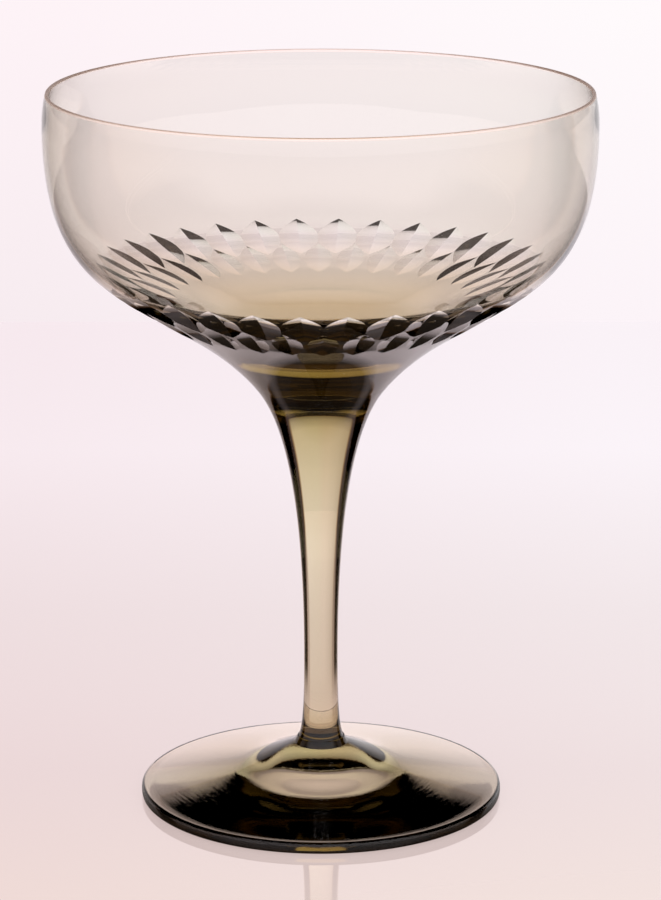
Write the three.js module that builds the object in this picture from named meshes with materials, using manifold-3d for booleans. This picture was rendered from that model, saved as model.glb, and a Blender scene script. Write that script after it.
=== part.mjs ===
// Sherbet glass of tinted glass: a wide cut bowl on a drawn stem and a flat foot.
// Units are millimetres, +Z is up, and the origin is the centre of the plane the foot rests on.
// The three gathers of glass are separate solids that meet face to face at two flat weld planes.

import * as THREE from 'three';
import { mergeVertices } from 'three/addons/utils/BufferGeometryUtils.js';
import Module from 'manifold-3d';

const wasm = await Module();
wasm.setup();

// Foot: a disc that rises to a low boss, which carries the stem, with a shallow dome underneath
const footRadius = 34.2;
const footRimThickness = 2.2;
const footHeight = 11.2;
const footRimSlope = 7.4;
const footRimPull = 12.8;
const footFlareSlope = 26.6;
const footFlarePull = 10.6;
const bossTopRadius = 4.45;
const bossBaseRadius = 5.1;
const bossHeight = 1.3;
const restRingWidth = 2.4;
const domeRadius = 17.1;
const domeEdgeHeight = 0.39;
const domeEdgeSlope = 2.7;
const domeEdgePull = 11.3;
const domeHeight = 3.33;
const domeTopPull = 7.8;

// Stem: solid, waisted low down, and drawn out wide where it carries the bowl
const stemLength = 68.8;
const stemEndRadius = 4.3;
const stemWaistRadius = 3.19;
const stemWaistHeight = 15.8;
const stemEndSlope = 55;
const stemEndPull = 2;
const stemWaistPullDown = 3.5;
const stemWaistPullUp = 40;
const stemTopPull = 5;

// Bowl: the neck is the weld to the stem, and the flare joins the neck to the shoulder
const bowlHeight = 55;
const neckRadius = 12.55;
const neckSlope = 49.6;
const neckPull = 10;
const flareHeight = 13;
const flareRadius = 29.45;
const flareSlope = 33.7;
const flarePullIn = 2;
const flarePullOut = 13;
const bellyRadius = 50.75;
const bellyPull = 25;
const rimRadius = 50.05;
const rimDrop = 6.7;
const rimPull = 2.4;
const rimFullness = 0.8;

// Bowl wall: thin and even down to the shoulder, then ever thicker down to the floor
const rimWall = 0.7;
const bellyWall = 0.85;
const innerBellyPull = 15.4;
const shoulderHeight = 21.65;
const shoulderWall = 1.0;
const innerShoulderSlope = 44.85;
const innerShoulderPullUp = 6.6;
const innerShoulderPullDown = 6.5;
const floorEdgeRadius = 16.4;
const floorEdgeHeight = 12.7;
const floorEdgeSlope = 21.6;
const floorEdgePullOut = 5.2;
const floorEdgePullIn = 5.1;
const floorThickness = 10.8;
const floorPull = 4.1;

// Cuts on the outside of the bowl: two staggered rows ground with the mitred edge of a wheel
const cutsPerRow = 32;
const upperCutHeight = 19.1;
const upperCutDepth = 0.92;
const lowerCutHeight = 14.9;
const lowerCutDepth = 0.62;
const wheelRadius = 25;
const wheelHalfWidth = 6;
const wheelMitre = 11.5;
const cutTurn = 0.8;

// Fineness of the faceted surfaces
const roundSteps = 64;
const wheelSteps = 40;
const domeSteps = 7;
const footEdgeSteps = 6;
const footTopSteps = 8;
const stemFootSteps = 6;
const stemSideSteps = 14;
const neckSteps = 5;
const bellySteps = 9;
const rimSteps = 2;
const innerBellySteps = 8;
const innerShoulderSteps = 6;
const floorSteps = 4;

const degree = Math.PI / 180;
const stemBase = footHeight;
const bowlBase = stemBase + stemLength;

// A point given by its radius and height, in the half plane that is turned about the axis
function at(radius, height) {
  return new THREE.Vector2(radius, height);
}

// The point that lies a distance from a start point, along a slope in degrees above the level
function along(start, slope, distance) {
  return at(
    start.x + distance * Math.cos(slope * degree),
    start.y + distance * Math.sin(slope * degree),
  );
}

// A smooth stretch of outline from one point to another, led by a guide point at each end
function stretch(start, startGuide, endGuide, end, steps) {
  return new THREE.CubicBezierCurve(start, startGuide, endGuide, end).getPoints(steps);
}

// Leaves one vertex at each place, and drops the triangles that shrink to nothing at the axis
function weldVertices(geometry) {
  const bare = geometry.clone();
  bare.deleteAttribute('normal');
  bare.deleteAttribute('uv');
  const merged = mergeVertices(bare, 1e-4);
  const corners = merged.index.array;
  const kept = [];
  for (let i = 0; i < corners.length; i += 3) {
    const a = corners[i];
    const b = corners[i + 1];
    const c = corners[i + 2];
    if (a !== b && b !== c && c !== a) {
      kept.push(a, b, c);
    }
  }
  merged.setIndex(kept);
  return merged;
}

// Turns an outline about the axis and stands the result upright
function turned(outline, steps) {
  const geometry = new THREE.LatheGeometry(outline, steps);
  geometry.rotateX(Math.PI / 2);
  return weldVertices(geometry);
}

function toSolid(geometry) {
  const solid = new wasm.Manifold(new wasm.Mesh({
    numProp: 3,
    vertProperties: new Float32Array(geometry.attributes.position.array),
    triVerts: new Uint32Array(geometry.index.array),
  }));
  return solid;
}

function fromSolid(solid) {
  const mesh = solid.getMesh();
  const geometry = new THREE.BufferGeometry();
  geometry.setAttribute('position', new THREE.BufferAttribute(mesh.vertProperties, 3));
  geometry.setIndex(new THREE.BufferAttribute(mesh.triVerts, 1));
  geometry.computeVertexNormals();
  return geometry;
}

// The foot's outline runs from the dome under its middle, out over the rim and up the boss
function footGeometry() {
  const edgeRadius = footRimThickness / 2;
  const edgeCentre = footRadius - edgeRadius;
  const ringOuter = at(edgeCentre, 0);
  const ringInner = at(edgeCentre - restRingWidth, 0);
  const domeTop = at(0, domeHeight);
  const domeEdge = at(domeRadius, domeEdgeHeight);
  const domeEdgeGuide = along(domeEdge, 180 - domeEdgeSlope, domeEdgePull);
  const dome = stretch(domeTop, at(domeTopPull, domeHeight), domeEdgeGuide, domeEdge, domeSteps);
  const edge = new THREE.EllipseCurve(edgeCentre, edgeRadius, edgeRadius, edgeRadius, -Math.PI / 2, Math.PI / 2);
  const topStart = at(edgeCentre, footRimThickness);
  const bossBase = at(bossBaseRadius, footHeight - bossHeight);
  const topStartGuide = along(topStart, 180 - footRimSlope, footRimPull);
  const topEndGuide = along(bossBase, -footFlareSlope, footFlarePull);
  const top = stretch(topStart, topStartGuide, topEndGuide, bossBase, footTopSteps);
  const outline = [
    ...dome,
    ringInner,
    ringOuter,
    ...edge.getPoints(footEdgeSteps).slice(1),
    ...top.slice(1),
    at(bossTopRadius, footHeight),
    at(0, footHeight),
  ];
  return turned(outline, roundSteps);
}

// The stem's outline runs from the middle of its lower end, up its side, to the middle of its top
function stemGeometry() {
  const lowerEnd = at(stemEndRadius, 0);
  const waist = at(stemWaistRadius, stemWaistHeight);
  const upperEnd = at(neckRadius, stemLength);
  const lowerGuide = along(lowerEnd, 180 - stemEndSlope, stemEndPull);
  const waistGuideDown = at(waist.x, waist.y - stemWaistPullDown);
  const waistGuideUp = at(waist.x, waist.y + stemWaistPullUp);
  const upperGuide = along(upperEnd, 180 + neckSlope, stemTopPull);
  const outline = [
    at(0, 0),
    lowerEnd,
    ...stretch(lowerEnd, lowerGuide, waistGuideDown, waist, stemFootSteps).slice(1),
    ...stretch(waist, waistGuideUp, upperGuide, upperEnd, stemSideSteps).slice(1),
    at(0, stemLength),
  ];
  return turned(outline, roundSteps);
}

// The outside of the bowl, from the neck up to the rim
function bowlOutside() {
  const neck = at(neckRadius, 0);
  const flare = at(flareRadius, flareHeight);
  const belly = at(bellyRadius, bowlHeight - rimDrop);
  const rim = at(rimRadius, bowlHeight);
  const bellyGuideUp = at(belly.x, belly.y + rimPull);
  const rimGuide = at(rim.x + (belly.x - rim.x) * rimFullness, rim.y - rimPull);
  const neckGuide = along(neck, neckSlope, neckPull);
  const lower = stretch(neck, neckGuide, along(flare, 180 + flareSlope, flarePullIn), flare, neckSteps);
  const bellyGuideDown = at(belly.x, belly.y - bellyPull);
  const middle = stretch(flare, along(flare, flareSlope, flarePullOut), bellyGuideDown, belly, bellySteps);
  const upper = stretch(belly, bellyGuideUp, rimGuide, rim, rimSteps);
  return [...lower, ...middle.slice(1), ...upper.slice(1)];
}

// Where the outside of the bowl reaches a height, with its slope there in degrees
function outsideAt(outline, height) {
  const next = outline.findIndex((point) => point.y >= height);
  const lower = outline[next - 1];
  const upper = outline[next];
  const share = (height - lower.y) / (upper.y - lower.y);
  const place = lower.clone().lerp(upper, share);
  const slope = Math.atan2(upper.y - lower.y, upper.x - lower.x) / degree;
  return { place, slope };
}

// The inside of the bowl, from the rim down to the middle of its floor
function bowlInside(outside) {
  const belly = at(bellyRadius - bellyWall, bowlHeight - rimDrop);
  const rim = at(rimRadius - rimWall, bowlHeight);
  const { place, slope } = outsideAt(outside, shoulderHeight);
  const shoulder = along(place, 90 + slope, shoulderWall);
  const floorEdge = at(floorEdgeRadius, floorEdgeHeight);
  const floor = at(0, floorThickness);
  const bellyGuideUp = at(belly.x, belly.y + rimPull);
  const rimGuide = at(rim.x + (belly.x - rim.x) * rimFullness, rim.y - rimPull);
  const upper = stretch(rim, rimGuide, bellyGuideUp, belly, rimSteps);
  const shoulderGuideUp = along(shoulder, innerShoulderSlope, innerShoulderPullUp);
  const bellyGuideDown = at(belly.x, belly.y - innerBellyPull);
  const middle = stretch(belly, bellyGuideDown, shoulderGuideUp, shoulder, innerBellySteps);
  const shoulderGuideDown = along(shoulder, 180 + innerShoulderSlope, innerShoulderPullDown);
  const floorEdgeGuideOut = along(floorEdge, floorEdgeSlope, floorEdgePullOut);
  const lower = stretch(shoulder, shoulderGuideDown, floorEdgeGuideOut, floorEdge, innerShoulderSteps);
  const floorEdgeGuideIn = along(floorEdge, 180 + floorEdgeSlope, floorEdgePullIn);
  const bottom = stretch(floorEdge, floorEdgeGuideIn, at(floorPull, floor.y), floor, floorSteps);
  return [...upper, ...middle.slice(1), ...lower.slice(1), ...bottom.slice(1)];
}

// The grinding wheel lies round the X axis, with its mitred edge in the middle
function wheelGeometry() {
  const mitreRadius = wheelRadius - wheelHalfWidth * Math.tan(wheelMitre * degree);
  const outline = [
    at(0, -wheelHalfWidth),
    at(mitreRadius, -wheelHalfWidth),
    at(wheelRadius, 0),
    at(mitreRadius, wheelHalfWidth),
    at(0, wheelHalfWidth),
  ];
  const geometry = turned(outline, wheelSteps);
  geometry.rotateY(Math.PI / 2);
  return geometry;
}

// One row of cuts round the bowl: the wheel's edge sinks in square to the outside
function cutRow(bowl, outline, height, depth, firstAngle) {
  const { place, slope } = outsideAt(outline, height);
  const centre = along(place, slope - 90, wheelRadius - depth);
  const wheel = wheelGeometry();
  let cutBowl = bowl;
  for (let i = 0; i < cutsPerRow; i += 1) {
    const placed = wheel.clone();
    placed.translate(0, -centre.x, centre.y);
    placed.rotateZ((firstAngle + i * 360 / cutsPerRow) * degree);
    cutBowl = cutBowl.subtract(toSolid(placed));
  }
  return cutBowl;
}

// The bowl: a turned shell, closed below by its neck, with the two rows of cuts
function bowlGeometry() {
  const outside = bowlOutside();
  const inside = bowlInside(outside);
  const shell = turned([at(0, 0), ...outside, ...inside], roundSteps);
  const halfPitch = 180 / cutsPerRow;
  const blank = toSolid(shell);
  const withLower = cutRow(blank, outside, lowerCutHeight, lowerCutDepth, cutTurn);
  const withBoth = cutRow(withLower, outside, upperCutHeight, upperCutDepth, cutTurn + halfPitch);
  return fromSolid(withBoth);
}

const glassColours = { bowl: 0xd8cec4, stem: 0x8c8468, foot: 0xa89c86 };

function tintedGlass(colour) {
  return new THREE.MeshStandardMaterial({ color: colour, roughness: 0.02, metalness: 0 });
}

function addPiece(assembly, name, geometry, height) {
  const mesh = new THREE.Mesh(geometry, tintedGlass(glassColours[name]));
  mesh.name = name;
  mesh.position.set(0, 0, height);
  assembly.add(mesh);
}

const sherbetGlass = new THREE.Group();
addPiece(sherbetGlass, 'foot', footGeometry(), 0);
addPiece(sherbetGlass, 'stem', stemGeometry(), stemBase);
addPiece(sherbetGlass, 'bowl', bowlGeometry(), bowlBase);

export default sherbetGlass;
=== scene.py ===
from math import atan2, copysign, cos, degrees, pi, radians, sin, tan

import bmesh
import bpy
from mathutils import Matrix, Vector
from mathutils.geometry import interpolate_bezier


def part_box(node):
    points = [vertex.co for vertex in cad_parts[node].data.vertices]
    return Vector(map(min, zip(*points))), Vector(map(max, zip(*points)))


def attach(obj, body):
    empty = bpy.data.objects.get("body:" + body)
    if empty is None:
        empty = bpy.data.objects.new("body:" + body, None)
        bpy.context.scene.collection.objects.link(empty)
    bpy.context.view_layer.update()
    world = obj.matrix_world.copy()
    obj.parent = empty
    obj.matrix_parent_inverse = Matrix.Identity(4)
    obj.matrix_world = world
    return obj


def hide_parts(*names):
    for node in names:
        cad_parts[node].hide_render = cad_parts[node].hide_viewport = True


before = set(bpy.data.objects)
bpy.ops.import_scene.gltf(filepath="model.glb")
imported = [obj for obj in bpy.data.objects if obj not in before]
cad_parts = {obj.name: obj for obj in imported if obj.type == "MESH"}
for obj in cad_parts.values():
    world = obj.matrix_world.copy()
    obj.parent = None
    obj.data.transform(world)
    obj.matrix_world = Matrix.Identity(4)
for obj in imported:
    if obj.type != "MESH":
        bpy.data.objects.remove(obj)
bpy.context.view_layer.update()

# The view: a long lens a little above the rim, about five glass heights away.
# The camera stands in front of the glass and aims a hair to its right, which leaves the glass
# left of the middle of the picture, as in the photograph.
mm = 0.001
glass_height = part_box("bowl")[1][2]
camera_distance = 4.874 * glass_height
camera_height = 1.799 * glass_height
camera_dip = radians(14.94)
camera_yaw = radians(0.158)
lens_mm = 146
sensor_mm = 36

camera_data = bpy.data.cameras.new("view")
camera_data.lens = lens_mm
camera_data.sensor_width = sensor_mm
camera = bpy.data.objects.new("view", camera_data)
bpy.context.collection.objects.link(camera)
camera.location = (0, -camera_distance, camera_height)
camera.rotation_euler = (pi / 2 - camera_dip, 0, -camera_yaw)
bpy.context.scene.camera = camera

# The table: one wide sheet of polished opal acrylic, lit from above. Its glow is painted light
# that stands in for light from beneath, and it glows more where it is seen steeply. It is
# pinkish near the viewer, its own colour, and paler behind and a little lighter on the right,
# which is painted light. Its far edge lies a little way behind the glass, and the bright
# backdrop shows beyond it. The foot stands a hair above its surface.
table_half_width = 2.0
table_drop = 0.02 * mm
table_front = -2.0
table_back = 0.40
table_near_edge = -0.06
table_side_reach = 0.08
# The sheet's own pink colour, made paler behind with painted light.
table_colour_and_light = (
    (-0.051, (0.755, 0.614, 0.582)), (0.011, (0.754, 0.609, 0.607)),
    (0.115, (0.711, 0.601, 0.61)), (0.252, (0.728, 0.649, 0.689)),
    (0.389, (0.626, 0.543, 0.585)),
)
# Painted light: the table is a little darker toward the left and lighter toward the right.
painted_left_shade = (0.973, 0.945, 0.935)
painted_right_light = (1.027, 1.055, 1.065)
# Painted light: the table's glow, stronger where the sheet is seen steeply.
table_glow = 0.8
steep_glow = 1.7 * table_glow
glow_slant = (0.66, 0.5)
surface_share = (0.3, 0.3, 0.3)
table_roughness = 0.02
table_bend = 2.0
polish_bend = 1.8

mesh = bpy.data.meshes.new("table")
bm = bmesh.new()
corners = [
    bm.verts.new(corner) for corner in (
        (-table_half_width, table_front, -table_drop), (table_half_width, table_front, -table_drop),
        (table_half_width, table_back, -table_drop), (-table_half_width, table_back, -table_drop),
    )
]
bm.faces.new(corners)
bm.to_mesh(mesh)
bm.free()
table = bpy.data.objects.new("table", mesh)
bpy.context.collection.objects.link(table)


def wire(links, value, socket):
    if isinstance(value, bpy.types.NodeSocket):
        links.new(value, socket)
    elif isinstance(value, tuple):
        socket.default_value = (*value, 1)
    else:
        socket.default_value = value


def math_node(tree, operation, first, second=0.5):
    node = tree.nodes.new("ShaderNodeMath")
    node.operation = operation
    wire(tree.links, first, node.inputs[0])
    wire(tree.links, second, node.inputs[1])
    return node.outputs[0]


def spread(tree, value, start, end, low=0.0, high=1.0, curve="LINEAR"):
    node = tree.nodes.new("ShaderNodeMapRange")
    node.interpolation_type = curve
    wire(tree.links, value, node.inputs["Value"])
    wire(tree.links, start, node.inputs["From Min"])
    wire(tree.links, end, node.inputs["From Max"])
    wire(tree.links, low, node.inputs["To Min"])
    wire(tree.links, high, node.inputs["To Max"])
    return node.outputs["Result"]


def blend(tree, share, first, second, kind="MIX"):
    node = tree.nodes.new("ShaderNodeMix")
    node.data_type = "RGBA"
    node.blend_type = kind
    wire(tree.links, share, node.inputs[0])
    wire(tree.links, first, node.inputs[6])
    wire(tree.links, second, node.inputs[7])
    return node.outputs[2]


def ramp(tree, value, stops, start, end):
    node = tree.nodes.new("ShaderNodeValToRGB")
    tree.links.new(spread(tree, value, start, end), node.inputs["Fac"])
    marks = node.color_ramp.elements
    marks.remove(marks[1])
    for place, colour in stops:
        mark = marks.new((place - start) / (end - start))
        mark.color = (*colour, 1)
    marks.remove(marks[0])
    return node.outputs["Color"]


# The studio's light as glass shows it, in degrees round from straight behind the glass, with
# the left negative. It is bright as far as half_width, ends there in a brown fringe, and comes
# back at the viewer's side.
light_by_turn = (
    (-180, (1, 1, 1)), (-100, (0.85, 0.76, 0.68)), (-76, (0.6, 0.49, 0.42)),
    (-42, (0.6, 0.57, 0.53)), (-32, (0.7, 0.68, 0.63)), (-20, (0.88, 0.88, 0.86)),
    (-8, (1, 1, 1)), (36, (1, 1, 1)),
    (76, (0.6, 0.49, 0.42)), (100, (0.85, 0.76, 0.68)), (180, (1, 1, 1)),
)
light_fringe = (
    (0, (0, 0, 0)), (0.4, (0.22, 0.14, 0.09)), (0.8, (0.75, 0.64, 0.54)), (1, (1, 1, 1)),
)
fringe_half_width = 2.5
viewer_side = (70, 76)


def light_from(tree, turn, half_width):
    sideways = math_node(tree, "ABSOLUTE", turn)
    outward = math_node(tree, "SUBTRACT", sideways, half_width)
    behind = spread(tree, outward, fringe_half_width, -fringe_half_width)
    lit = math_node(tree, "MAXIMUM", behind, spread(tree, sideways, *viewer_side))
    fringe = ramp(tree, lit, light_fringe, 0, 1)
    return blend(tree, 1.0, ramp(tree, turn, light_by_turn, -180, 180), fringe, "MULTIPLY")


# What glass mirrors inside itself is nearly dark.
lost_light = (0.12, 0.1, 0.07)


def seen_by_glass(tree, ray):
    return math_node(
        tree, "MAXIMUM", ray.outputs["Is Glossy Ray"], ray.outputs["Is Transmission Ray"],
    )


def past_glass(tree, ray):
    return math_node(tree, "MINIMUM", ray.outputs["Transmission Depth"], 1.0)


def mirrored_inside(tree, ray):
    inner = math_node(
        tree, "MINIMUM", ray.outputs["Glossy Depth"], ray.outputs["Is Transmission Ray"],
    )
    return math_node(tree, "MINIMUM", inner, 1.0)


def mirrored_twice(tree, ray):
    further = spread(tree, ray.outputs["Glossy Depth"], 1, 2)
    return math_node(tree, "MULTIPLY", further, past_glass(tree, ray))


table_sheet_and_painted_light = bpy.data.materials.new("table_sheet_and_painted_light")
table_sheet_and_painted_light.use_nodes = True
tree = table_sheet_and_painted_light.node_tree
shader = tree.nodes["Principled BSDF"]
place = tree.nodes.new("ShaderNodeTexCoord")
split = tree.nodes.new("ShaderNodeSeparateXYZ")
tree.links.new(place.outputs["Object"], split.inputs[0])
distance = tree.nodes.new("ShaderNodeVectorMath")
distance.operation = "LENGTH"
tree.links.new(place.outputs["Object"], distance.inputs[0])
reach = distance.outputs["Value"]
facing = tree.nodes.new("ShaderNodeLayerWeight").outputs["Facing"]
ray = tree.nodes.new("ShaderNodeLightPath")

# Painted light on the table: paler behind, darker on the left and lighter on the right.
paling = ramp(tree, split.outputs["Y"], table_colour_and_light, table_near_edge, table_back)
across = spread(tree, split.outputs["X"], -table_side_reach, table_side_reach)
painted_side_light = blend(tree, across, painted_left_shade, painted_right_light)
toned = blend(tree, 1.0, paling, painted_side_light, "MULTIPLY")

# Seen by the glass, the table past the foot is bright only as far round as the light behind it.
past_foot_reach = (0.045, 0.08)
lit_reach = (0.13, 0.36)
lit_half_widths = (41, 33)
not_mirrored = math_node(tree, "SUBTRACT", 1.0, mirrored_inside(tree, ray))
by_glass = math_node(tree, "MULTIPLY", seen_by_glass(tree, ray), not_mirrored)
past_foot = spread(tree, reach, *past_foot_reach, curve="SMOOTHSTEP")
past_foot = math_node(tree, "MULTIPLY", past_foot, by_glass)
turn = math_node(tree, "ARCTAN2", split.outputs["X"], split.outputs["Y"])
turn = math_node(tree, "DEGREES", turn)
around = light_from(tree, turn, spread(tree, reach, *lit_reach, *lit_half_widths))
toned = blend(tree, past_foot, toned, around, "MULTIPLY")

# The foot and the neck shade the table near them where the glass mirrors it.
foot_shade_reach = (0.050, 0.042)
neck_shade_reach = (0.07, 0.05)
neck_shade_slant = (0.55, 0.35)
shade = (0.1, 0.09, 0.07)
near_neck = spread(tree, reach, *neck_shade_reach)
under_neck = math_node(tree, "MULTIPLY", spread(tree, facing, *neck_shade_slant), near_neck)
at_foot = math_node(tree, "MAXIMUM", under_neck, spread(tree, reach, *foot_shade_reach))
shaded = math_node(tree, "MULTIPLY", ray.outputs["Is Reflection Ray"], at_foot)
toned = blend(tree, shaded, toned, shade, "MULTIPLY")

# What glass mirrors inside itself is dark where it looks steeply down, or after two mirrorings.
steep_slant = (0.6, 0.5)
steep_reach = (0.18, 0.15)
steep = spread(tree, facing, *steep_slant)
steep = math_node(tree, "MULTIPLY", steep, mirrored_inside(tree, ray))
steep = math_node(tree, "MULTIPLY", steep, spread(tree, reach, *steep_reach))
toned = blend(tree, steep, toned, lost_light, "MULTIPLY")
toned = blend(tree, mirrored_twice(tree, ray), toned, lost_light, "MULTIPLY")

# Painted light: the table glows in place of light from beneath, more where it is seen steeply.
glow = spread(tree, facing, *glow_slant, table_glow, steep_glow)
surface = blend(tree, 1.0, toned, surface_share, "MULTIPLY")
tree.links.new(toned, shader.inputs["Emission Color"])
tree.links.new(glow, shader.inputs["Emission Strength"])
tree.links.new(surface, shader.inputs["Base Color"])
shader.inputs["Roughness"].default_value = table_roughness
shader.inputs["IOR"].default_value = table_bend
shader.inputs["Coat Weight"].default_value = 1
shader.inputs["Coat Roughness"].default_value = table_roughness
shader.inputs["Coat IOR"].default_value = polish_bend
table.data.materials.append(table_sheet_and_painted_light)

# The room: a bright backdrop behind the glass, dimmer toward its left and toward its top, with
# dark strips at the sides, a dark ceiling and a broad soft light in front. Only what is seen,
# mirrored or seen through glass meets them: everything else is lit by plain light.
light_by_rise = (
    (12, (1, 1, 1)), (15.7, (0.81, 0.81, 0.81)), (18.8, (0.7, 0.7, 0.7)),
    (23.3, (0.45, 0.44, 0.42)), (24.7, (0.38, 0.33, 0.29)), (25.3, (0.1, 0.06, 0.04)),
    (26, (0, 0, 0)),
)
light_rise_span = (10, 30)
wide_and_narrow = (55, 33)
narrowing_rise = (-9.5, -7.5)
front_turn = (radians(100), radians(125))
front_rise = (70, 50)
front_level = 0.9
wall_rise = (-14, -8)
wall_turn = radians(4.5)
left_wall_low = (0.915, 0.823, 0.855)
left_wall_high = (0.991, 0.896, 0.930)
right_wall_low = (0.965, 0.888, 0.930)
right_wall_high = (1.0, 0.956, 0.973)
plain_light = (1.0, 1.0, 1.0)

world = bpy.data.worlds.new("room")
world.use_nodes = True
bpy.context.scene.world = world
tree = world.node_tree
tree.nodes.clear()
place = tree.nodes.new("ShaderNodeTexCoord")
split = tree.nodes.new("ShaderNodeSeparateXYZ")
tree.links.new(place.outputs["Generated"], split.inputs[0])
ray = tree.nodes.new("ShaderNodeLightPath")
turn = math_node(tree, "ARCTAN2", split.outputs["X"], split.outputs["Y"])
rise = math_node(tree, "DEGREES", math_node(tree, "ARCSINE", split.outputs["Z"]))

narrowed = math_node(tree, "MULTIPLY", past_glass(tree, ray), spread(tree, rise, *narrowing_rise))
half_width = spread(tree, narrowed, 0, 1, *wide_and_narrow)
turn_light = light_from(tree, math_node(tree, "DEGREES", turn), half_width)
height_light = ramp(tree, rise, light_by_rise, *light_rise_span)
around = blend(tree, 1.0, turn_light, height_light, "MULTIPLY")
in_front = spread(tree, math_node(tree, "ABSOLUTE", turn), *front_turn)
front_light = spread(tree, rise, *front_rise, 0.0, front_level)
around = blend(tree, in_front, around, front_light)
around = blend(tree, mirrored_twice(tree, ray), around, lost_light, "MULTIPLY")

wall_height = spread(tree, rise, *wall_rise)
left_wall = blend(tree, wall_height, left_wall_low, left_wall_high)
right_wall = blend(tree, wall_height, right_wall_low, right_wall_high)
wall_side = spread(tree, turn, -wall_turn, wall_turn)
wall_colour = blend(tree, wall_side, left_wall, right_wall)
seen_room = blend(tree, 1.0, wall_colour, around, "MULTIPLY")
lit_room = blend(tree, seen_by_glass(tree, ray), plain_light, seen_room)
room_colour = blend(tree, ray.outputs["Is Camera Ray"], lit_room, wall_colour)
backdrop = tree.nodes.new("ShaderNodeBackground")
tree.links.new(room_colour, backdrop.inputs["Color"])
room_output = tree.nodes.new("ShaderNodeOutputWorld")
tree.links.new(backdrop.outputs[0], room_output.inputs["Surface"])

# The bowl: blown glass, thin at the rim and thick under the floor, one smooth sweep outside.
# Two staggered rows of scale cuts are ground round its shoulder with the mitred edge of a
# wheel and polished clear. Its neck is fused to the stem.
round_steps = 256
merge_distance = 1e-7
weld_gap = 0.005 * mm
level_share = 0.99
bowl_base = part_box("bowl")[0][2]
bowl_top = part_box("bowl")[1][2]
neck_radius = 12.55 * mm
neck_slope = 49.6
neck_pull = 10 * mm
flare_height = 13 * mm
flare_radius = 29.45 * mm
flare_slope = 33.7
flare_pull_in = 2 * mm
flare_pull_out = 13 * mm
belly_radius = 50.75 * mm
belly_pull = 25 * mm
rim_radius = 50.05 * mm
rim_drop = 6.7 * mm
rim_pull = 2.4 * mm
rim_lean = 0.8
rim_wall = 0.7 * mm
half_lip = rim_wall / 2
lip_steps = 6
belly_wall = 0.85 * mm
inner_belly_pull = 15.4 * mm
shoulder_height = 21.65 * mm
shoulder_wall = 1.0 * mm
inner_shoulder_slope = 44.85
inner_shoulder_pull_up = 6.6 * mm
inner_shoulder_pull_down = 6.5 * mm
floor_edge_radius = 16.4 * mm
floor_edge_height = 12.7 * mm
floor_edge_slope = 21.6
floor_edge_pull_out = 5.2 * mm
floor_edge_pull_in = 5.1 * mm
floor_thickness = 10.8 * mm
floor_pull = 4.1 * mm
cut_crease = radians(8)


def at(radius, height):
    return Vector((radius, 0, height))


def along(start, slope, distance):
    return start + distance * at(cos(radians(slope)), sin(radians(slope)))


def stretch(start, start_guide, end_guide, end, steps):
    return interpolate_bezier(start, start_guide, end_guide, end, steps + 1)


def new_piece(name, bm):
    mesh = bpy.data.meshes.new(name)
    bm.to_mesh(mesh)
    bm.free()
    piece = bpy.data.objects.new(name, mesh)
    bpy.context.collection.objects.link(piece)
    return piece


def turned(outline):
    bm = bmesh.new()
    corners = [bm.verts.new(point) for point in outline]
    for first, second in zip(corners, corners[1:]):
        bm.edges.new((first, second))
    bmesh.ops.spin(
        bm, geom=bm.verts[:] + bm.edges[:], cent=(0, 0, 0), axis=(0, 0, 1),
        angle=2 * pi, steps=round_steps, use_merge=True,
    )
    bmesh.ops.remove_doubles(bm, verts=bm.verts, dist=merge_distance)
    bmesh.ops.recalc_face_normals(bm, faces=bm.faces)
    return bm


# Level faces where two pieces are fused are marked, so that the glass bends no light there.
def mark_welds(piece, heights):
    mark = piece.data.attributes.new("weld", "FLOAT", "FACE")
    for face in piece.data.polygons:
        at_weld = any(abs(face.center.z - height) < 2 * weld_gap for height in heights)
        is_level = abs(face.normal.z) > level_share
        mark.data[face.index].value = 1.0 if at_weld and is_level else 0.0


base = at(0, bowl_base + weld_gap)
neck = base + at(neck_radius, 0)
flare = at(flare_radius, bowl_base + flare_height)
belly = at(belly_radius, bowl_top - rim_drop)
rim = at(rim_radius, bowl_top)
rim_guide = at(rim_radius + (belly_radius - rim_radius) * rim_lean, bowl_top - rim_pull)
outside = stretch(
    neck, along(neck, neck_slope, neck_pull), along(flare, 180 + flare_slope, flare_pull_in),
    flare, steps=24,
)
outside += stretch(
    flare, along(flare, flare_slope, flare_pull_out), belly - at(0, belly_pull),
    belly, steps=56,
)[1:]
outside += stretch(
    belly, belly + at(0, rim_pull), rim_guide,
    rim - at(0, half_lip), steps=8,
)[1:]


def outside_at(height):
    for lower, upper in zip(outside, outside[1:]):
        if lower.z <= height <= upper.z:
            share = (height - lower.z) / (upper.z - lower.z)
            slope = degrees(atan2(upper.z - lower.z, upper.x - lower.x))
            return lower.lerp(upper, share), slope


lip_middle = rim - at(half_lip, 0)
lip = [
    along(lip_middle, step * 180 / lip_steps, half_lip) - at(0, half_lip)
    for step in range(1, lip_steps)
]
shoulder, shoulder_slope = outside_at(bowl_base + shoulder_height)
inner_rim = rim - at(rim_wall, half_lip)
inner_belly = belly - at(belly_wall, 0)
inner_shoulder = along(shoulder, 90 + shoulder_slope, shoulder_wall)
floor_edge = at(floor_edge_radius, bowl_base + floor_edge_height)
floor = at(0, bowl_base + floor_thickness)
inside = stretch(
    inner_rim, rim_guide - at(rim_wall, 0), inner_belly + at(0, rim_pull),
    inner_belly, steps=8,
)
inside += stretch(
    inner_belly, inner_belly - at(0, inner_belly_pull),
    along(inner_shoulder, inner_shoulder_slope, inner_shoulder_pull_up),
    inner_shoulder, steps=40,
)[1:]
inside += stretch(
    inner_shoulder, along(inner_shoulder, 180 + inner_shoulder_slope, inner_shoulder_pull_down),
    along(floor_edge, floor_edge_slope, floor_edge_pull_out),
    floor_edge, steps=36,
)[1:]
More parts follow.
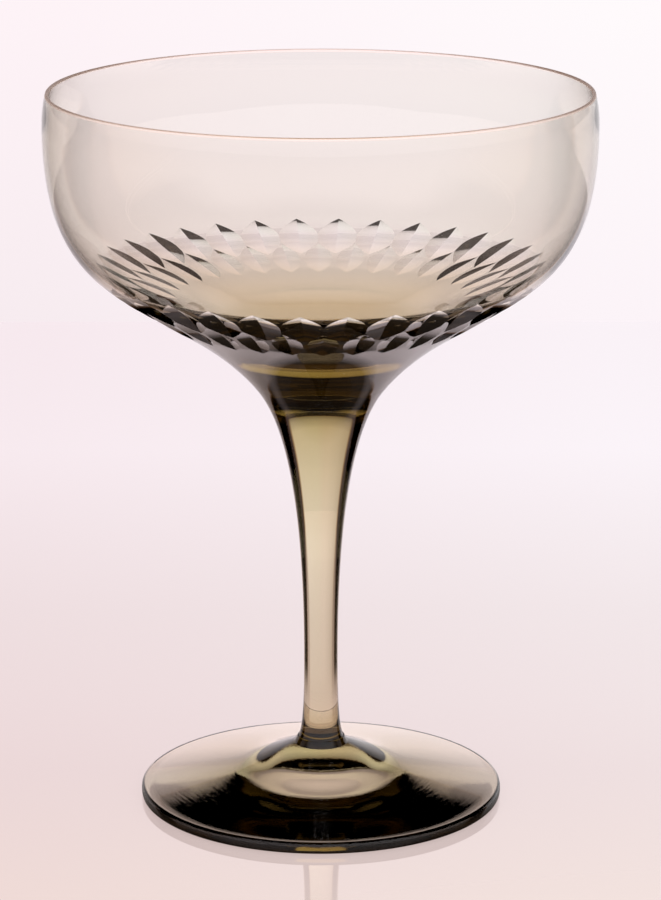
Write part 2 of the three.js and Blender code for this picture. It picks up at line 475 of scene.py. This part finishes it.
inside += stretch(
    floor_edge, along(floor_edge, 180 + floor_edge_slope, floor_edge_pull_in),
    floor + at(floor_pull, 0),
    floor, steps=24,
)[1:]
bowl = new_piece("bowl_glass", turned([base] + outside + lip + inside))

cuts_per_row = 32
cut_pitch = 2 * pi / cuts_per_row
cut_turn = radians(0.8)
lower_row_height = 14.9 * mm
lower_row_depth = 0.62 * mm
upper_row_height = 19.1 * mm
upper_row_depth = 0.92 * mm
wheel_radius = 25 * mm
wheel_half_width = 6 * mm
wheel_mitre = radians(11.5)
wheel_reach = 5 * mm
wheel_swing = radians(20)
wheel_steps = 40


# Only the part of a wheel that meets the glass is made. It is spun round the wheel's own axle,
# stood square to the outside of the bowl, and repeated for every second cut of the row.
def cut_bowl(height, depth, first_turn):
    place, slope = outside_at(bowl_base + height)
    centre = along(place, slope - 90, wheel_radius - depth)
    mitre_radius = wheel_radius - wheel_half_width * tan(wheel_mitre)
    back_radius = wheel_radius - wheel_reach
    section = (
        (wheel_radius, 0), (mitre_radius, wheel_half_width), (back_radius, wheel_half_width),
        (back_radius, -wheel_half_width), (mitre_radius, -wheel_half_width),
    )
    middle = (0, 0, 0)
    bm = bmesh.new()
    face = bm.faces.new([bm.verts.new((-radius, across, 0)) for radius, across in section])
    swing = Matrix.Rotation(-wheel_swing, 3, "Y")
    bmesh.ops.rotate(bm, verts=bm.verts, cent=middle, matrix=swing)
    bmesh.ops.spin(
        bm, geom=[face] + face.verts[:] + face.edges[:], cent=middle, axis=(0, 1, 0),
        angle=2 * wheel_swing, steps=wheel_steps,
    )
    bmesh.ops.remove_doubles(bm, verts=bm.verts, dist=merge_distance)
    bmesh.ops.recalc_face_normals(bm, faces=bm.faces)
    tilt = Matrix.Rotation(pi - atan2(place.z - centre.z, place.x - centre.x), 3, "Y")
    bmesh.ops.rotate(bm, verts=bm.verts, cent=middle, matrix=tilt)
    bmesh.ops.translate(bm, verts=bm.verts, vec=centre)
    first_wheel = bm.verts[:] + bm.edges[:] + bm.faces[:]
    to_first = Matrix.Rotation(first_turn, 3, "Z")
    bmesh.ops.rotate(bm, verts=bm.verts, cent=middle, matrix=to_first)
    for copy in range(1, cuts_per_row // 2):
        made = bmesh.ops.duplicate(bm, geom=first_wheel)["geom"]
        corners = [part for part in made if isinstance(part, bmesh.types.BMVert)]
        to_next = Matrix.Rotation(copy * 2 * cut_pitch, 3, "Z")
        bmesh.ops.rotate(bm, verts=corners, cent=middle, matrix=to_next)
    wheels = new_piece("wheels", bm)
    cut = bowl.modifiers.new("cut", "BOOLEAN")
    cut.operation = "DIFFERENCE"
    cut.solver = "MANIFOLD"
    cut.object = wheels
    ground = bowl.evaluated_get(bpy.context.evaluated_depsgraph_get())
    shaped = bpy.data.meshes.new_from_object(ground)
    bowl.modifiers.clear()
    bowl.data = shaped
    bpy.data.objects.remove(wheels)


for height, depth, row_turn in (
    (lower_row_height, lower_row_depth, cut_turn),
    (upper_row_height, upper_row_depth, cut_turn + cut_pitch / 2),
):
    cut_bowl(height, depth, row_turn)
    cut_bowl(height, depth, row_turn + cut_pitch)
bowl.data.materials.clear()
bowl.data.shade_smooth()
bowl.data.set_sharp_from_angle(angle=cut_crease)
mark_welds(bowl, [bowl_base])

# The bowl's glass, which the stem and the foot share, is clear with a smoky olive tint that
# deepens with thickness. Its colour turns warmer at glancing angles, a painted reflection of the
# warm studio, and the stem's glass is tinted warmer still. The foot keeps fine marks of turning,
# and the rim's lip glows a little with painted light that stands in for light from the wall.
foot_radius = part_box("foot")[1][0]
foot_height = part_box("foot")[1][2]
# Painted reflection: the glass's colour turns warm at glancing angles.
glancing_reflection_tints = (
    (0, (1, 0.99, 0.99)), (0.5, (1, 0.985, 0.975)), (0.8, (1, 0.955, 0.92)), (1, (1, 0.84, 0.74)),
)
stem_tint = (0.935, 0.905, 0.89)
stem_tint_from = (foot_height - 1.2 * mm, foot_height + 1.8 * mm)
stem_tint_to = (bowl_base + 2 * mm, bowl_base - 4 * mm)
marks_per_metre = 3000
marks_round = 5
marks_scale = 1
marks_detail = 2
marks_depth = 0.005 * mm
marks_below = (foot_height - 0.2 * mm, foot_height - 2.2 * mm)
marks_within = (foot_radius - 0.9 * mm, foot_radius - 2.2 * mm)
lip_rise = (bowl_top - 0.6 * mm, bowl_top - 0.3 * mm)
lip_roughness = 0.4
# Painted light: the colour of the glow at the rim's lip.
lip_glow_colour = (0.6, 0.36, 0.27, 1)
lip_glow = 0.27
glass_bend = 1.52
weld_bend = 1.0
glass_tint = (0.70, 0.613, 0.258, 1)
tint_density = 120


# The marks are noise that is fine outward from the axis and drawn out around it.
def turning_marks(tree, split):
    flat = tree.nodes.new("ShaderNodeCombineXYZ")
    tree.links.new(split.outputs["X"], flat.inputs[0])
    tree.links.new(split.outputs["Y"], flat.inputs[1])
    length = tree.nodes.new("ShaderNodeVectorMath")
    length.operation = "LENGTH"
    tree.links.new(flat.outputs[0], length.inputs[0])
    reach = length.outputs["Value"]
    heading = tree.nodes.new("ShaderNodeVectorMath")
    heading.operation = "NORMALIZE"
    tree.links.new(flat.outputs[0], heading.inputs[0])
    around = tree.nodes.new("ShaderNodeSeparateXYZ")
    tree.links.new(heading.outputs["Vector"], around.inputs[0])
    outward = math_node(tree, "MULTIPLY", reach, marks_per_metre)
    round_x = math_node(tree, "MULTIPLY", around.outputs["X"], marks_round)
    round_y = math_node(tree, "MULTIPLY", around.outputs["Y"], marks_round)
    polar = tree.nodes.new("ShaderNodeCombineXYZ")
    tree.links.new(outward, polar.inputs[0])
    tree.links.new(round_x, polar.inputs[1])
    tree.links.new(round_y, polar.inputs[2])
    marks = tree.nodes.new("ShaderNodeTexNoise")
    marks.inputs["Scale"].default_value = marks_scale
    marks.inputs["Detail"].default_value = marks_detail
    tree.links.new(polar.outputs[0], marks.inputs["Vector"])
    turning = tree.nodes.new("ShaderNodeBump")
    turning.inputs["Distance"].default_value = marks_depth
    tree.links.new(marks.outputs["Fac"], turning.inputs["Height"])
    below = spread(tree, split.outputs["Z"], *marks_below)
    on_disc = math_node(tree, "MULTIPLY", below, spread(tree, reach, *marks_within))
    tree.links.new(on_disc, turning.inputs["Strength"])
    return turning.outputs["Normal"]


glass = bpy.data.materials.new("tinted_glass")
glass.use_nodes = True
tree = glass.node_tree
shader = tree.nodes["Principled BSDF"]
facing = tree.nodes.new("ShaderNodeLayerWeight").outputs["Facing"]
place = tree.nodes.new("ShaderNodeTexCoord")
split = tree.nodes.new("ShaderNodeSeparateXYZ")
tree.links.new(place.outputs["Object"], split.inputs[0])
height = split.outputs["Z"]
above_foot = spread(tree, height, *stem_tint_from)
on_stem = math_node(tree, "MULTIPLY", above_foot, spread(tree, height, *stem_tint_to))
# Painted reflection: warm colour at glancing angles, as if the glass mirrored the warm studio; the
# stem is tinted warmer.
reflection_and_stem_tint = ramp(tree, facing, glancing_reflection_tints, 0, 1)
reflection_and_stem_tint = blend(tree, on_stem, reflection_and_stem_tint, stem_tint, "MULTIPLY")
weld = tree.nodes.new("ShaderNodeAttribute")
weld.attribute_name = "weld"
bend = spread(tree, weld.outputs["Fac"], 0, 1, glass_bend, weld_bend)
lip_haze = spread(tree, height, *lip_rise, 0, lip_roughness)
# Painted light: the lip at the rim glows warm, in place of light from the wall.
lip_light = spread(tree, height, *lip_rise, 0, lip_glow)
tree.links.new(reflection_and_stem_tint, shader.inputs["Base Color"])
tree.links.new(turning_marks(tree, split), shader.inputs["Normal"])
tree.links.new(bend, shader.inputs["IOR"])
tree.links.new(lip_haze, shader.inputs["Roughness"])
tree.links.new(lip_light, shader.inputs["Emission Strength"])
shader.inputs["Emission Color"].default_value = lip_glow_colour
shader.inputs["Transmission Weight"].default_value = 1
tint = tree.nodes.new("ShaderNodeVolumeAbsorption")
tint.inputs["Color"].default_value = glass_tint
tint.inputs["Density"].default_value = tint_density
tree.links.new(tint.outputs[0], tree.nodes["Material Output"].inputs["Volume"])

bowl.data.materials.append(glass)
bowl.data.polygons.foreach_set("material_index", [0] * len(bowl.data.polygons))
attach(bowl, "root")
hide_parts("bowl")

# The stem: a solid gather of the same glass, drawn down from the bowl to a slim waist.
# Its ends are fused to the bowl's neck and to the boss of the foot.
stem_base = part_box("stem")[0][2]
stem_end_radius = 4.3 * mm
waist_radius = 3.19 * mm
waist_height = 15.8 * mm
stem_end_slope = 55
stem_end_pull = 2 * mm
waist_pull_down = 3.5 * mm
waist_pull_up = 40 * mm
stem_top_pull = 5 * mm
stem_crease = radians(40)

lower_middle = at(0, stem_base + weld_gap)
lower_end = lower_middle + at(stem_end_radius, 0)
waist = at(waist_radius, stem_base + waist_height)
upper_middle = at(0, bowl_base - weld_gap)
upper_end = upper_middle + at(neck_radius, 0)
side = stretch(
    lower_end, along(lower_end, 180 - stem_end_slope, stem_end_pull), waist - at(0, waist_pull_down),
    waist, steps=16,
)
side += stretch(
    waist, waist + at(0, waist_pull_up), along(upper_end, 180 + neck_slope, stem_top_pull),
    upper_end, steps=80,
)[1:]
stem = new_piece("stem_glass", turned([lower_middle] + side + [upper_middle]))
stem.data.shade_smooth()
stem.data.set_sharp_from_angle(angle=stem_crease)
mark_welds(stem, [stem_base, bowl_base])
stem.data.materials.append(glass)
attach(stem, "root")
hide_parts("stem")

# The foot: a gather pressed out to a disc while it spins, with a low boss that takes the stem.
# It rests on a narrow flat ring under its rounded edge, and its underside is domed up a little
# in the middle.
foot_edge = 1.1 * mm
edge_squareness = 0.6
edge_steps = 28
rest_ring = 2.4 * mm
dome_radius = 16 * mm
dome_edge_height = 1.0 * mm
dome_height = 4.15 * mm
dome_top_pull = 9.8 * mm
dome_edge_slope = 2
dome_edge_pull = 7.6 * mm
boss_top_radius = 4.45 * mm
boss_base_radius = 5.1 * mm
boss_height = 1.22 * mm
foot_rim_slope = 12
foot_rim_pull = 21 * mm
foot_flare_slope = 23
foot_flare_pull = 12 * mm
foot_crease = radians(20)

edge_centre = foot_radius - foot_edge
ring_inner = at(edge_centre - rest_ring, 0)
dome_top = at(0, dome_height)
dome_edge = at(dome_radius, dome_edge_height)
underside = stretch(
    dome_top, dome_top + at(dome_top_pull, 0), along(dome_edge, 180 - dome_edge_slope, dome_edge_pull),
    dome_edge, steps=40,
) + [ring_inner]


def edge_point(turn):
    outward = sin(turn) ** edge_squareness
    downward = copysign(abs(cos(turn)) ** edge_squareness, cos(turn))
    return at(edge_centre + foot_edge * outward, foot_edge - foot_edge * downward)


edge = [edge_point(pi * step / edge_steps) for step in range(edge_steps + 1)]
boss_base = at(boss_base_radius, foot_height - boss_height)
top_start = at(edge_centre, 2 * foot_edge)
top = stretch(
    top_start, along(top_start, 180 - foot_rim_slope, foot_rim_pull),
    along(boss_base, -foot_flare_slope, foot_flare_pull),
    boss_base, steps=48,
)[1:]
boss_top = at(boss_top_radius, foot_height - weld_gap)
foot_middle = at(0, foot_height - weld_gap)
foot = new_piece("foot_glass", turned(underside + edge + top + [boss_top, foot_middle]))
foot.data.shade_smooth()
foot.data.set_sharp_from_angle(angle=foot_crease)
mark_welds(foot, [foot_height])
foot.data.materials.append(glass)
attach(foot, "root")
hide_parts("foot")

# The picture: light is followed for six bounces, so the thickest glass stays dark as in the
# photograph, and colours are shown as they are written.
bounces = 6
scene = bpy.context.scene
scene.cycles.max_bounces = bounces
scene.cycles.transmission_bounces = bounces
scene.cycles.glossy_bounces = bounces
scene.view_settings.view_transform = "Standard"
